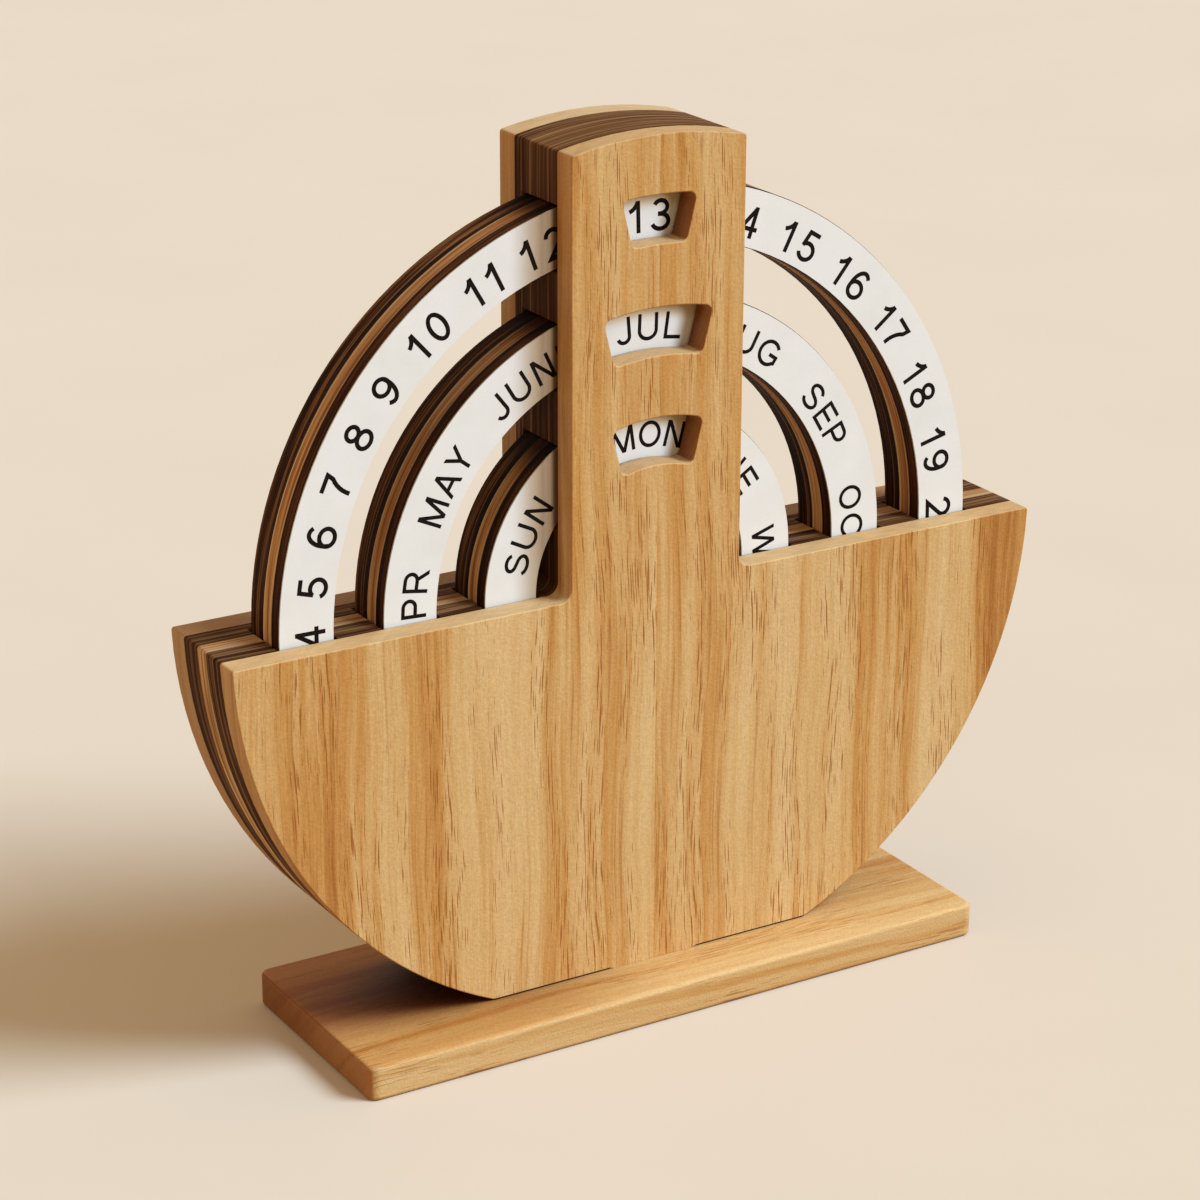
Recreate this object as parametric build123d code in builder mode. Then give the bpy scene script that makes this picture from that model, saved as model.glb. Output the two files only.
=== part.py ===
"""A perpetual desk calendar: three ring dials that turn in a laminated wooden stand.

Frame: +X to the right, +Y to the back, +Z up, in millimetres. The origin is the middle of the
base board's underside. The three rings share one axis, which runs along Y.

The stand is a stack of upright plies on a flat base board: a front plate with three windows, four
channel plies that leave three round channels between them, a rear liner and a back plate. Each
ring is a stack of its own, with a printed label on its face.
"""

import os

from build123d import *

# ---------------------------------------------------------------- driving dimensions

# Base board
base_length = 157.2
base_thickness = 8.0
base_front_lip = 14.3  # from the front plate to the front edge
base_back_lip = 10.0  # from the back plate to the back edge
base_corner_radius = 2.4
base_edge_round = 1.0

# Plies of the stand, from the front to the back
front_plate_thickness = 5.8
face_ply_thickness = 3.8
second_ply_thickness = 2.9
pale_ply_thickness = 4.5
inner_ply_thickness = 3.6
liner_thickness = 2.8
back_plate_thickness = 6.4

# Rings
date_ring_radius = 86.6
ring_step = 24.0  # from one ring's outer radius to the next one's
ring_width = 12.6
ring_running_gap = 0.6  # radial, on both edges of a ring
ring_side_play = 0.8  # axial, in front of the label and behind the ring
ring_face_ply_thickness = 3.0
ring_middle_ply_thickness = 2.4
ring_back_ply_thickness = 3.6
ring_edge_round = 0.3
label_thickness = 0.4
label_inset = 0.15  # from the ring's edges

# Bowl
bowl_floor = 1.8  # wood between the largest channel and the base board
bowl_wall = 13.6  # wood outside the largest ring
bowl_centre_rise = 2.7  # centre of the bowl's arc above the ring axis
rim_corner_radius = 0.7
bowl_foot_radius = 1.0

# Tower
tower_width = 42.3
tower_cap_height = 11.0  # wood above the largest channel
tower_top_radius = 95.0
tower_top_corner_radius = 0.8
tower_foot_radius = 2.75

# Windows in the front plate
window_top_margin = 1.1  # from the label's outer edge
window_bottom_margin = 1.0  # from the label's inner edge
window_side_slant = 14.0  # degrees from upright
window_corner_radius = 1.6
date_window_width = 18.4  # at the top of the window
month_window_width = 27.4
weekday_window_width = 23.3

# Tenon under the stack, and its mortise in the base board
tenon_width = 21.6
tenon_length = 4.8
tenon_side_gap = 0.1
tenon_end_gap = 0.3

plate_edge_round = 0.3

# ---------------------------------------------------------------- derived sizes

bowl_radius = date_ring_radius + bowl_wall
axis_height = base_thickness + bowl_floor + ring_running_gap + date_ring_radius
bowl_centre_height = axis_height + bowl_centre_rise
tower_top_height = axis_height + date_ring_radius + ring_running_gap + tower_cap_height

channel_plies = {
    "ply_1": face_ply_thickness,
    "ply_2": second_ply_thickness,
    "ply_3": pale_ply_thickness,
    "ply_4": inner_ply_thickness,
}
channel_depth = sum(channel_plies.values())
stand_depth = front_plate_thickness + channel_depth + liner_thickness + back_plate_thickness
base_depth = base_front_lip + stand_depth + base_back_lip

stand_front = base_front_lip - base_depth / 2
channel_front = stand_front + front_plate_thickness
liner_front = channel_front + channel_depth
back_plate_front = liner_front + liner_thickness

ring_depth = channel_depth - 2 * ring_side_play
ring_pale_ply_thickness = (
    ring_depth
    - label_thickness
    - ring_face_ply_thickness
    - ring_middle_ply_thickness
    - ring_back_ply_thickness
)
ring_radii = {
    "date_ring": date_ring_radius,
    "month_ring": date_ring_radius - ring_step,
    "weekday_ring": date_ring_radius - 2 * ring_step,
}
window_widths = {
    "date_ring": date_window_width,
    "month_ring": month_window_width,
    "weekday_ring": weekday_window_width,
}

# ---------------------------------------------------------------- helpers


def upright(depth):
    """The plane of an upright outline at this Y, with its own Y along the part's Z."""
    return Plane.XZ.offset(-depth)


def slab(outline, front, thickness):
    """An upright board of this outline, from its front face towards the back."""
    with BuildPart() as board:
        with BuildSketch(upright(front)):
            add(outline)
        extrude(amount=-thickness)
    return board.part


def finish(solid, name):
    """Names one piece and writes it to its own file."""
    solid.label = name
    export_step(solid, f"parts/{name}.step")


# ---------------------------------------------------------------- outlines


def stand_outline():
    """Bowl, tower and tenon, as every full ply of the stand has them."""
    with BuildSketch() as tower:
        with Locations((0, tower_top_height - tower_top_radius)):
            Circle(tower_top_radius)
        with Locations((0, axis_height)):
            Rectangle(
                tower_width,
                tower_top_height - axis_height,
                align=(Align.CENTER, Align.MIN),
                mode=Mode.INTERSECT,
            )
    with BuildSketch() as outline:
        with Locations((0, bowl_centre_height)):
            Circle(bowl_radius)
        with Locations((0, base_thickness)):
            Rectangle(
                2 * bowl_radius,
                axis_height - base_thickness,
                align=(Align.CENTER, Align.MIN),
                mode=Mode.INTERSECT,
            )
        add(tower.sketch)
        rim_corners = outline.vertices().group_by(Axis.Y)[1].sort_by(Axis.X)
        fillet(rim_corners[1:-1], radius=tower_foot_radius)
        fillet(outline.vertices().group_by(Axis.Y)[-1], radius=tower_top_corner_radius)
        fillet(outline.vertices().group_by(Axis.Y)[0], radius=bowl_foot_radius)
        fillet(outline.vertices().group_by(Axis.X)[0], radius=rim_corner_radius)
        fillet(outline.vertices().group_by(Axis.X)[-1], radius=rim_corner_radius)
        with Locations((0, base_thickness)):
            Rectangle(tenon_width, tenon_length, align=(Align.CENTER, Align.MAX))
    return outline.sketch


def window_outline(ring_radius, width):
    """A window over one ring: arcs above and below, straight sides that lean in downwards."""
    outer = ring_radius - window_top_margin
    inner = ring_radius - ring_width + window_bottom_margin
    with BuildSketch() as window:
        with Locations((0, axis_height)):
            Circle(outer)
            Circle(inner, mode=Mode.SUBTRACT)
        with Locations((0, axis_height + outer)):
            Trapezoid(
                width,
                2 * (outer - inner),
                90 + window_side_slant,
                align=(Align.CENTER, Align.MAX),
                mode=Mode.INTERSECT,
            )
        fillet(window.vertices(), radius=window_corner_radius)
    return window.sketch


def between(outline, inner_radius, outer_radius):
    """What two circles about the ring axis leave of an outline, the lowest face first."""
    with BuildSketch() as zone:
        add(outline)
        with Locations((0, axis_height)):
            Circle(outer_radius, mode=Mode.INTERSECT)
            if inner_radius > 0:
                Circle(inner_radius, mode=Mode.SUBTRACT)
    return zone.sketch.faces().sort_by(Axis.Y)


def channel_ply_zones(outline):
    """The outline of every piece that the three channels cut a ply into, by name."""
    channels = [
        (radius - ring_width - ring_running_gap, radius + ring_running_gap)
        for radius in ring_radii.values()
    ]
    (date_inner, date_outer), (month_inner, month_outer), (weekday_inner, weekday_outer) = channels
    beyond_outline = 2 * tower_top_height
    zones = {}
    zones["bowl_wall"], zones["tower_cap"] = between(outline, date_outer, beyond_outline)
    zones["outer_band"], zones["upper_tower_block"] = between(outline, month_outer, date_inner)
    zones["inner_band"], zones["lower_tower_block"] = between(outline, weekday_outer, month_inner)
    (zones["core"],) = between(outline, 0, weekday_inner)
    return zones


def ring_outline(radius, inset=0.0):
    """A ring's face, or what is printed on it when it stays inside both edges by an inset."""
    with BuildSketch() as outline:
        with Locations((0, axis_height)):
            Circle(radius - inset)
            Circle(radius - ring_width + inset, mode=Mode.SUBTRACT)
    return outline.sketch


# ---------------------------------------------------------------- pieces


def make_base_board():
    """A plank with a mortise for the stack's tenon."""
    with BuildPart() as base_board:
        with BuildSketch(Plane.XY):
            RectangleRounded(base_length, base_depth, base_corner_radius)
        extrude(amount=base_thickness)
        broad_faces = base_board.faces().filter_by(Axis.Z)
        fillet(broad_faces.edges(), radius=base_edge_round)
        with BuildSketch(Plane.XY.offset(base_thickness)):
            with Locations((0, stand_front + stand_depth / 2)):
                Rectangle(tenon_width + 2 * tenon_side_gap, stand_depth + 2 * tenon_side_gap)
        extrude(amount=-(tenon_length + tenon_end_gap), mode=Mode.SUBTRACT)
    finish(base_board.part, "base_board")


def make_front_plate(outline):
    """The visible front, with one window over each ring."""
    with BuildPart() as front_plate:
        with BuildSketch(upright(stand_front)):
            add(outline)
            for ring_name, radius in ring_radii.items():
                add(window_outline(radius, window_widths[ring_name]), mode=Mode.SUBTRACT)
        extrude(amount=-front_plate_thickness)
        front_face = front_plate.faces().sort_by(Axis.Y)[0]
        fillet(front_face.edges(), radius=plate_edge_round)
    finish(front_plate.part, "front_plate")


def make_back_plate(outline):
    """The same silhouette as the front, without windows."""
    with BuildPart() as back_plate:
        with BuildSketch(upright(back_plate_front)):
            add(outline)
        extrude(amount=-back_plate_thickness)
        back_face = back_plate.faces().sort_by(Axis.Y)[-1]
        fillet(back_face.edges(), radius=plate_edge_round)
    finish(back_plate.part, "back_plate")


def make_channel_plies(outline):
    """Seven pieces a ply: what the channels leave in the bowl and in the tower."""
    zones = channel_ply_zones(outline)
    ply_front = channel_front
    for ply_name, thickness in channel_plies.items():
        for zone_name, zone in zones.items():
            finish(slab(zone, ply_front, thickness), f"{zone_name}_{ply_name}")
        ply_front += thickness


def make_ring(ring_name, radius):
    """A printed label on a stack of four plies, the last one softened at its back edges."""
    label_front = channel_front + ring_side_play
    label = slab(ring_outline(radius, label_inset), label_front, label_thickness)
    finish(label, f"{ring_name}_label")

    outline = ring_outline(radius)
    ply_front = label_front + label_thickness
    inner_plies = {
        "face_ply": ring_face_ply_thickness,
        "pale_ply": ring_pale_ply_thickness,
        "middle_ply": ring_middle_ply_thickness,
    }
    for ply_name, thickness in inner_plies.items():
        finish(slab(outline, ply_front, thickness), f"{ring_name}_{ply_name}")
        ply_front += thickness

    with BuildPart() as back_ply:
        with BuildSketch(upright(ply_front)):
            add(outline)
        extrude(amount=-ring_back_ply_thickness)
        back_face = back_ply.faces().sort_by(Axis.Y)[-1]
        fillet(back_face.edges(), radius=ring_edge_round)
    finish(back_ply.part, f"{ring_name}_back_ply")


os.makedirs("parts", exist_ok=True)
stand = stand_outline()
make_base_board()
make_front_plate(stand)
make_channel_plies(stand)
finish(slab(stand, liner_front, liner_thickness), "rear_liner")
make_back_plate(stand)
for ring_name, radius in ring_radii.items():
    make_ring(ring_name, radius)
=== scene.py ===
# %% [markdown]
# # A perpetual desk calendar
# Three wooden rings turn in a laminated stand. The outer ring carries the dates, the middle one the
# months and the inner one the weekdays, and today's entries show through windows in the tower.
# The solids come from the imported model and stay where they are. What this script adds is the
# finish of every piece, the printing on the three dials, and a plain studio to see them in.

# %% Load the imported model
import math

import bpy
from mathutils import Matrix, Vector
from mathutils.geometry import delaunay_2d_cdt


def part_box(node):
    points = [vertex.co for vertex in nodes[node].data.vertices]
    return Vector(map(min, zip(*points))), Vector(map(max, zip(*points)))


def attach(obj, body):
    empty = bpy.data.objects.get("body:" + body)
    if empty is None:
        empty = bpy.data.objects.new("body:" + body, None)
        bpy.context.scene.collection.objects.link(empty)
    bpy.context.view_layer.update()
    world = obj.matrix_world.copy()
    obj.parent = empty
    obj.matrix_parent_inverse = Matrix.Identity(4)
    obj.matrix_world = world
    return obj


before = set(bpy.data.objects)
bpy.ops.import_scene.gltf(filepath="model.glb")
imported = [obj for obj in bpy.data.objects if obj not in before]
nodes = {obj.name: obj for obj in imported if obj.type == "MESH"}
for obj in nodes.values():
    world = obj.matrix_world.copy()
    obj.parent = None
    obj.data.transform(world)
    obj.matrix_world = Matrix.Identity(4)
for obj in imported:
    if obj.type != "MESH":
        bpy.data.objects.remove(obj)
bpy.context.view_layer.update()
MM = 0.001

# %% [markdown]
# ## Where the viewer stands
# A product camera with a long lens flattens perspective, which keeps the round dials round. It
# stands to the left of the calendar and looks slightly down, so that the front, the laminated left
# side and the top of the tower all show. The place is written as a point and three turns, because
# those are the numbers a person would note down beside a tripod.

# %% The camera
CAMERA_PLACE = Vector((-361.0, -587.4, 347.2)) * MM
CAMERA_TURN = math.radians(31.11)  # to the right of straight ahead
CAMERA_DIP = math.radians(20.51)
CAMERA_ROLL = math.radians(0.17)
LENS_MM = 101.1
FARTHEST_SEEN = 20.0  # metres
CALENDAR_MIDDLE = Vector((0.0, 0.0, 100.0)) * MM

lens = bpy.data.cameras.new("studio_camera")
lens.lens = LENS_MM
lens.clip_end = FARTHEST_SEEN
camera = bpy.data.objects.new("studio_camera", lens)
camera.matrix_world = (
    Matrix.Translation(CAMERA_PLACE)
    @ Matrix.Rotation(-CAMERA_TURN, 4, "Z")
    @ Matrix.Rotation(math.pi / 2 - CAMERA_DIP, 4, "X")
    @ Matrix.Rotation(CAMERA_ROLL, 4, "Z")
)
bpy.context.scene.collection.objects.link(camera)
bpy.context.scene.camera = camera
print("camera is", round((CAMERA_PLACE - CALENDAR_MIDDLE).length, 3), "m from the calendar")

# %% [markdown]
# ## Writing materials as recipes
# Each finish below is a small network of shader nodes. Building one by hand means naming a node,
# setting its sockets and wiring it to the next, so a few helpers do that in one line each. They
# return the output socket, which lets a recipe read like a sum: take this noise, bend that colour
# with it, and so on. Everything is measured in millimetres of the real object, taken from the
# piece's own coordinates, so a grain line stays in the wood when a ring turns.

# %% Nodes and sums
def add_node(tree, kind, inputs=None, **settings):
    """One shader node with its settings and inputs; an input may be a value or another's output."""
    made = tree.nodes.new("ShaderNode" + kind)
    for name, value in settings.items():
        setattr(made, name, value)
    for socket, value in (inputs or {}).items():
        if isinstance(value, bpy.types.NodeSocket):
            tree.links.new(value, made.inputs[socket])
        else:
            made.inputs[socket].default_value = value
    return made


def calc(tree, operation, first, second=0.0, third=0.0):
    """A sum on plain numbers."""
    inputs = {0: first, 1: second, 2: third}
    return add_node(tree, "Math", inputs, operation=operation).outputs[0]


def times(tree, first, second):
    """The product of two numbers; of two shares it is where both hold."""
    return calc(tree, "MULTIPLY", first, second)


def plus(tree, first, second):
    """The sum of two numbers."""
    return calc(tree, "ADD", first, second)


def minus(tree, first, second):
    """The difference of two numbers."""
    return calc(tree, "SUBTRACT", first, second)


def size_of(tree, value):
    """A number without its sign, such as how far a point is from the middle."""
    return calc(tree, "ABSOLUTE", value)


def fade(tree, value, low, high, at_low=0.0, at_high=1.0):
    """A soft step of a number from low to high."""
    inputs = {0: value, 1: low, 2: high, 3: at_low, 4: at_high}
    return add_node(tree, "MapRange", inputs, interpolation_type="SMOOTHSTEP").outputs[0]


def split(tree, vector):
    """The three numbers of a vector."""
    return add_node(tree, "SeparateXYZ", {0: vector}).outputs


def join(tree, x, y, z):
    """A vector from three numbers."""
    return add_node(tree, "CombineXYZ", {0: x, 1: y, 2: z}).outputs[0]


print("ready: nodes, sums, fades and vectors")


# %% Places and noise
def piece_place(tree):
    """A point of the piece in millimetres and the way its surface faces, in the piece's frame."""
    source = add_node(tree, "TexCoord")
    inputs = {0: source.outputs["Object"], 1: (1 / MM, 1 / MM, 1 / MM)}
    place = add_node(tree, "VectorMath", inputs, operation="MULTIPLY").outputs[0]
    return place, source.outputs["Normal"]


def looks_up(tree, facing):
    """1 where a surface looks up, 0 where it stands upright or looks down."""
    return fade(tree, split(tree, facing)[2], 0.35, 0.85)


def turned(tree, facing, axis, low, high, at_low=0.0, at_high=1.0):
    """A soft step of how squarely a surface faces along one axis, to either side."""
    return fade(tree, size_of(tree, split(tree, facing)[axis]), low, high, at_low, at_high)


def stretched(tree, place, stretch, shift=(0.0, 0.0, 0.0)):
    """The same place on other scales along X, Y and Z. A shift takes another part of the noise."""
    inputs = {"Vector": place, "Scale": stretch, "Location": shift}
    return add_node(tree, "Mapping", inputs).outputs[0]


def cloud(tree, place, lumps, detail=2.0, roughness=0.5, shift=(0.0, 0.0, 0.0)):
    """Soft random variation with so many lumps to a millimetre along X, Y and Z."""
    scaled = stretched(tree, place, lumps, shift)
    inputs = {"Vector": scaled, "Scale": 1.0, "Detail": detail, "Roughness": roughness}
    return add_node(tree, "TexNoise", inputs).outputs[0]


def centred(tree, value, weight):
    """A cloud's value about zero, times a weight."""
    return times(tree, minus(tree, value, 0.5), weight)


print("ready: places in millimetres, and noise in lumps to a millimetre")


# %% Colours and the main shader
def blend(tree, share, first, second, mode="MIX"):
    """The first colour with this share of the second one; a fixed colour is three numbers."""
    first, second = ((*c, 1.0) if isinstance(c, tuple) else c for c in (first, second))
    inputs = {0: share, 6: first, 7: second}
    return add_node(tree, "Mix", inputs, data_type="RGBA", blend_type=mode).outputs[2]


def tint(tree, share, colour, tone):
    """The colour, multiplied by a tone where the share is 1."""
    return blend(tree, share, colour, tone, "MULTIPLY")


def blend_value(tree, share, first, second):
    """The first number with this share of the second one."""
    return add_node(tree, "Mix", {0: share, 2: first, 3: second}, data_type="FLOAT").outputs[0]


def tones(tree, value, *stops):
    """A run of colours along a number from 0 to 1; each stop is (where, colour)."""
    ramp = add_node(tree, "ValToRGB", {0: value})
    band = ramp.color_ramp
    while len(band.elements) < len(stops):
        band.elements.new(0.5)
    for element, (where, colour) in zip(band.elements, stops):
        element.position = where
        element.color = (*colour, 1.0)
    return ramp.outputs[0]


def start_finish(name):
    """An empty material with its main shader; what the exporter keeps is set on that shader."""
    finish = bpy.data.materials.new(name)
    finish.use_nodes = True
    tree = finish.node_tree
    tree.nodes.clear()
    shader = add_node(tree, "BsdfPrincipled")
    output = add_node(tree, "OutputMaterial")
    tree.links.new(shader.outputs[0], output.inputs[0])
    return finish, tree, shader


def take_up(finish):
    """The network, the main shader and the colour of a finish, to work on it further."""
    tree = finish.node_tree
    shader = tree.nodes["Principled BSDF"]
    return tree, shader, shader.inputs["Base Color"].links[0].from_socket


def feed(tree, shader, **sockets):
    """Wires outputs to the shader's sockets; a socket's spaces are written as underscores."""
    for socket, source in sockets.items():
        tree.links.new(source, shader.inputs[socket.replace("_", " ")])


def even(shader, **sockets):
    """Sets what is the same all over on the shader's own sockets, where the exporter looks."""
    for socket, value in sockets.items():
        shader.inputs[socket.replace("_", " ")].default_value = value


def bump(tree, height, depth_mm):
    """A surface normal that rises and falls by a height from 0 to 1 times this many millimetres."""
    return add_node(tree, "Bump", {"Height": height, "Distance": depth_mm * MM}).outputs[0]


print("ready: colours and empty finishes")

# %% [markdown]
# ## Honey-coloured wood
# The front plate, the back plate and the base board are solid boards of a warm, straight-grained
# wood with an oiled surface. A plank is a slice through nested growth layers, so its face shows
# broad bands along the grain, finer streaks inside them, and short dark pores. A picture of wood
# wrapped round the board would repeat and would end at its edges. Noise that is stretched far
# along the grain fills the whole solid, so the figure of a face goes on over its edges. The recipe
# bends the place a little, asks for that noise at three widths, and adds the pores last. Heartwood
# is darker and redder than the wood near the bark, so each board lists its `hearts`: the zones
# across its width that were cut from there.

# %% Tones of the honey-coloured boards
HONEY_PALE = (0.780, 0.543, 0.270)
HONEY = (0.720, 0.460, 0.199)
HONEY_ORANGE = (0.625, 0.322, 0.098)
HONEY_BROWN = (0.420, 0.158, 0.034)
HONEY_CUT = (0.530, 0.345, 0.178)
HONEY_CUT_WARM = (0.645, 0.415, 0.200)
PORE_BROWN = (0.350, 0.105, 0.012)
PLATE_SIDE = (0.92, 0.86, 0.88)  # the narrow sides are made darker than the broad faces
BACK_SIDE = (0.84, 0.75, 0.72)
BASE_SIDE = (0.62, 0.41, 0.34)
print("tones of a board, pale to brown:", HONEY_PALE, HONEY, HONEY_ORANGE, HONEY_BROWN)

# %% The figure of a board
# How many lumps of noise go to a millimetre, across the grain and along it
DRIFT, WANDER = (0.010, 0.009, 1.0), (0.09, 0.018, 1.0)
BANDS, STREAKS = (0.085, 0.0040, 1.0), (0.50, 0.014, 1.0)
DRIFT_MM, WANDER_MM = 7.0, 4.5  # how far the grain strays sideways
BAND_WEIGHT, STREAK_WEIGHT = 0.90, 0.58
FIGURE_MIDDLE = 0.43  # the tone of wood between two bands
HEART_CORE = 0.3  # the share of a heart's half width that is at full strength


def bend_grain(tree, side, length, seed):
    """The place across a board as its fibres see it: they drift sideways on their way along."""
    flat = join(tree, side, length, seed)
    drift = cloud(tree, flat, DRIFT, 1.0)
    wander = cloud(tree, flat, WANDER, 1.0, shift=(7.0, 3.0, 1.0))
    bent = plus(tree, side, centred(tree, drift, DRIFT_MM))
    return plus(tree, bent, centred(tree, wander, WANDER_MM))


def board_figure(tree, bent, grain, hearts, contrast):
    """How dark the wood is: broad bands, streaks within them, and the hearts."""
    bands = cloud(tree, grain, BANDS, 3.0, 0.55)
    bands = centred(tree, bands, BAND_WEIGHT * contrast)
    streaks = cloud(tree, grain, STREAKS, 4.0, 0.65, (11.0, 0.0, 4.0))
    figure = plus(tree, bands, centred(tree, streaks, STREAK_WEIGHT * contrast))
    figure = plus(tree, figure, FIGURE_MIDDLE)
    for middle, half, strength in hearts:
        off = size_of(tree, minus(tree, bent, middle))
        figure = plus(tree, figure, fade(tree, off, HEART_CORE * half, half, strength, 0.0))
    return figure


print("a broad band of the figure is about", round(1 / BANDS[0]), "mm wide")

# %% Brown lines, pores and cut ends
BROWN_LINES, FIBRES = (1.50, 0.016, 1.0), (2.2, 0.20, 1.0)
PORE_GROUPS = (0.16, 0.016, 1.0)
LONG_PORES, SHORT_PORES = (1.15, 0.036, 1.0), (1.7, 0.075, 1.0)
GRIT, CUT_CLOUDS = (1.7, 1.7, 1.7), (0.25, 0.9, 0.25)
PORE_REACH = 0.21  # half a pore's width, as a share of its cell
PORE_COVER = 0.85


def brown_lines(tree, grain, figure):
    """Thin lines that show most where a band is dark."""
    lines = cloud(tree, grain, BROWN_LINES, 3.0, 0.6, (0.0, 5.0, 9.0))
    in_dark = fade(tree, figure, 0.38, 0.58, 0.12, 0.62)
    return times(tree, fade(tree, lines, 0.55, 0.68), in_dark)


def pore_dashes(tree, grain, cells_to_mm):
    """Long thin cells with one dark dash each, thicker where the pores gather in groups."""
    inputs = {"Vector": stretched(tree, grain, cells_to_mm), "Scale": 1.0, "Randomness": 1.0}
    cells = add_node(tree, "TexVoronoi", inputs, voronoi_dimensions="2D")
    groups = cloud(tree, grain, PORE_GROUPS, 3.0, 0.6, (3.0, 8.0, 2.0))
    reach = fade(tree, groups, 0.40, 0.62, 0.00, PORE_REACH)
    return fade(tree, minus(tree, reach, cells.outputs["Distance"]), 0.0, 0.09)


def cut_end(tree, place):
    """A board cut across: the fibres' ends are quieter, and paler, partly as a painted sheen."""
    mixed = fade(tree, cloud(tree, place, CUT_CLOUDS, 3.0), 0.3, 0.7)
    return blend(tree, mixed, HONEY_CUT, HONEY_CUT_WARM)


print("a long pore's cell is", [round(1 / cells, 2) for cells in LONG_PORES[:2]], "mm")


# %% One board
def honey_wood(name, along, seed, hearts, side_tint, contrast=1.0, cut_cover=0.8):
    """A board whose grain runs along X or Z. Each of `hearts` is a zone of darker, redder wood:
    (middle across the board in mm, half its width, strength). On a cut end the even tone of the
    fibres' ends covers this share of the figure."""
    finish, tree, shader = start_finish(name)
    place, facing = piece_place(tree)
    x, y, z = split(tree, place)
    narrow_side = turned(tree, facing, 0, 0.5, 0.8)

    # Along the grain, and across it as if the narrow sides were folded out flat
    if along == "Z":
        length, side = z, calc(tree, "MULTIPLY_ADD", calc(tree, "SIGN", x), y, x)
        cut_face = fade(tree, split(tree, facing)[2], 0.55, 0.85)
    else:
        length, side = x, plus(tree, y, z)
        cut_face = turned(tree, facing, 0, 0.55, 0.85)
    bent = bend_grain(tree, side, length, seed)
    grain = join(tree, bent, length, seed)
    figure = board_figure(tree, bent, grain, hearts, contrast)
    colour = tones(
        tree, figure, (0.30, HONEY_PALE), (0.46, HONEY), (0.60, HONEY_ORANGE), (0.80, HONEY_BROWN),
    )

    brown = times(tree, brown_lines(tree, grain, figure), contrast)
    colour = blend(tree, brown, colour, HONEY_BROWN)
    fibres = cloud(tree, grain, FIBRES, 2.0, 0.6, (0.0, 5.0, 9.0))
    grit = cloud(tree, place, GRIT, 2.0, 0.6)
    shade = times(
        tree, fade(tree, fibres, 0.25, 0.75, 0.94, 1.05), fade(tree, grit, 0.25, 0.75, 0.92, 1.07),
    )
    colour = tint(tree, 1.0, colour, join(tree, shade, shade, shade))

    # Pores show as dashes on the broad faces only
    broad_face = minus(tree, 1.0, calc(tree, "MAXIMUM", cut_face, narrow_side))
    long_pores = pore_dashes(tree, grain, LONG_PORES)
    pores = calc(tree, "MAXIMUM", long_pores, pore_dashes(tree, grain, SHORT_PORES))
    pores = times(tree, pores, broad_face)
    colour = blend(tree, times(tree, pores, PORE_COVER * contrast), colour, PORE_BROWN)

    colour = blend(tree, times(tree, cut_face, cut_cover), colour, cut_end(tree, place))
    colour = tint(tree, narrow_side, colour, side_tint)
    relief = plus(tree, times(tree, fibres, 0.3), times(tree, grit, 0.8))
    relief = minus(tree, relief, times(tree, pores, 0.2))
    roughness = fade(tree, fibres, 0.2, 0.8, 0.46, 0.62)
    feed(tree, shader, Base_Color=colour, Roughness=roughness, Normal=bump(tree, relief, 0.10))
    even(shader, Specular_IOR_Level=0.2)
    print(name, "runs along", along, "and has", len(hearts), "hearts")
    return finish, tree, shader, colour


# %% [markdown]
# ## Painted shade on the plates
# Some places are painted darker than the wood itself, because shade falls there. The upright
# walls of the windows sit in a recess and get painted shade, most at the back. Beside the tenon
# the front plate's foot stands a hair clear of the base board, and the gap gets a painted line of
# shade. The back plate's rim lies behind the rings and gets their painted shadow, and what looks
# up above the rings gets a painted tone for how the lamp falls on it. Paint could be drawn on the
# mesh for each, but these places follow from the shape, so the recipes find them by place and by
# the way a surface faces.

# %% The front plate and its painted shade
# What the wood's colour is multiplied by
# The windows' walls: painted shade in the recess, lighter at the front and darker at the back
WALL_SHADE_FRONT = (0.60, 0.45, 0.34)
WALL_SHADE_BACK = (0.31, 0.18, 0.10)
FOOT_SHADE = (0.10, 0.05, 0.03)
# Painted shade on what looks up above the rings
PLATE_TOP_SHADE = (0.86, 0.82, 0.76)

WALL_ZONE_MM = 4.0  # the windows' walls are at least this far inside the tower's own sides
FOOT_LINE_MM = 0.35
TENON_HALF_MM = 10.9
TOP_LIGHT_FROM_MM = 6.0  # above the rings' top


def wear_top(tree, place, facing, colour, tone):
    """Paints the light on what looks up above the rings: a tone multiplies its colour there."""
    ring_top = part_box("date_ring_label")[1].z / MM
    high = fade(tree, split(tree, place)[2], ring_top, ring_top + TOP_LIGHT_FROM_MM)
    return tint(tree, times(tree, looks_up(tree, facing), high), colour, tone)


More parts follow.
